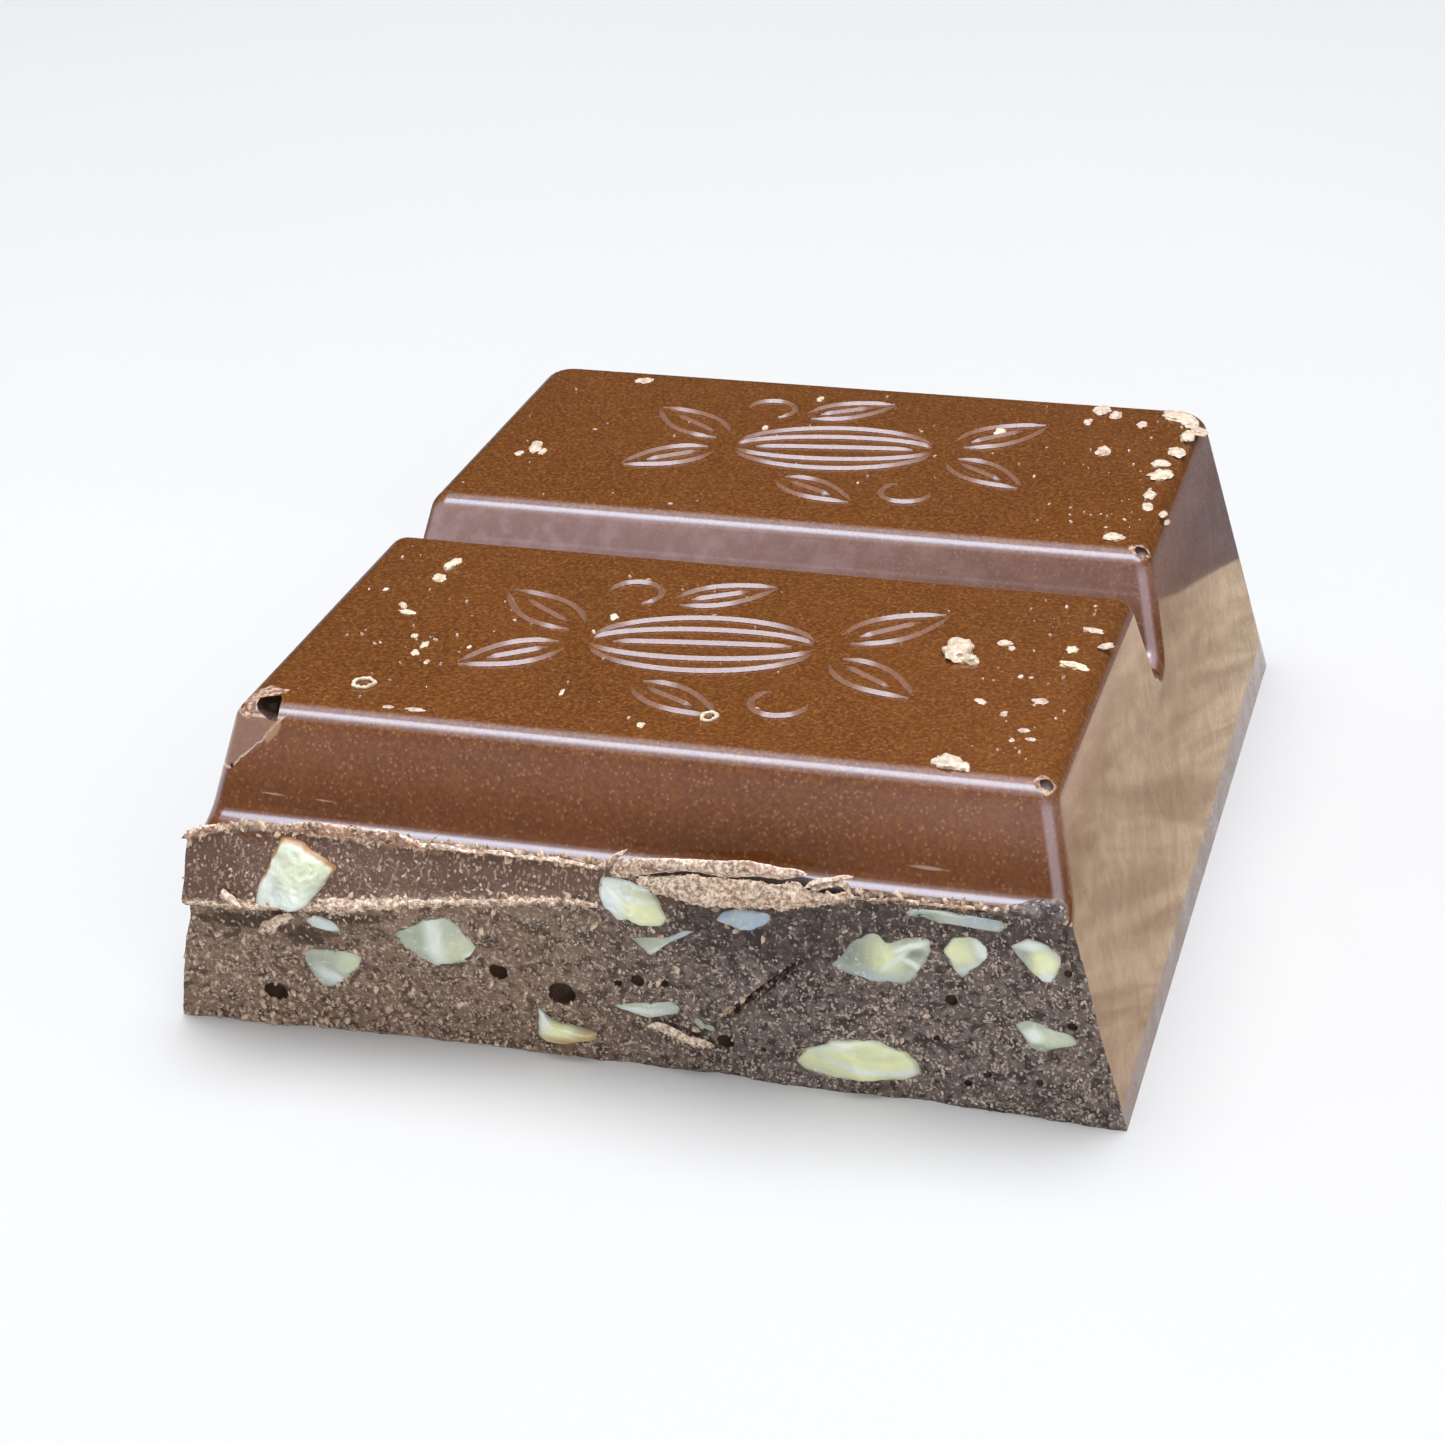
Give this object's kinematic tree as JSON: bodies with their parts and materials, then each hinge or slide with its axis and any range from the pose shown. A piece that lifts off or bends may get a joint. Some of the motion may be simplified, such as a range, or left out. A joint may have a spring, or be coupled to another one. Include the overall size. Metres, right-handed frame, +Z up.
{
  "type": "chocolate bar end piece with chopped nuts",
  "caption": "End piece of a thick moulded chocolate bar, snapped off at a groove, with a rough broken face that shows chopped nuts and air bubbles.",
  "frame": {"origin": "middle of the footprint, on the flat back of the bar that it rests on", "axes": "+X across the bar to the right, seen from the broken face; +Y from the broken face to the moulded far end; +Z up, out of the moulded top"},
  "size_m": [0.0386, 0.046, 0.0141],
  "materials": {
    "chocolate": "satin moulded skin on the top, sides and grooves, dry and granular on the broken face",
    "nut": "waxy cut kernel, pale green to yellow, with traces of brown skin"
  },
  "bodies": {
    "root": {"chocolate_bar": "chocolate", "nut_ledge_left": "nut", "nut_under_ridge": "nut", "nut_fan": "nut", "nut_diamond": "nut", "nut_ledge_middle": "nut", "nut_bird": "nut", "nut_blue": "nut", "nut_lens_small": "nut", "nut_two_lobes": "nut", "nut_heart": "nut", "nut_right_high": "nut", "nut_right_low": "nut", "nut_half_kernel": "nut", "nut_block": "nut", "nut_sliver": "nut", "nut_chip": "nut"}
  },
  "joints": []
}
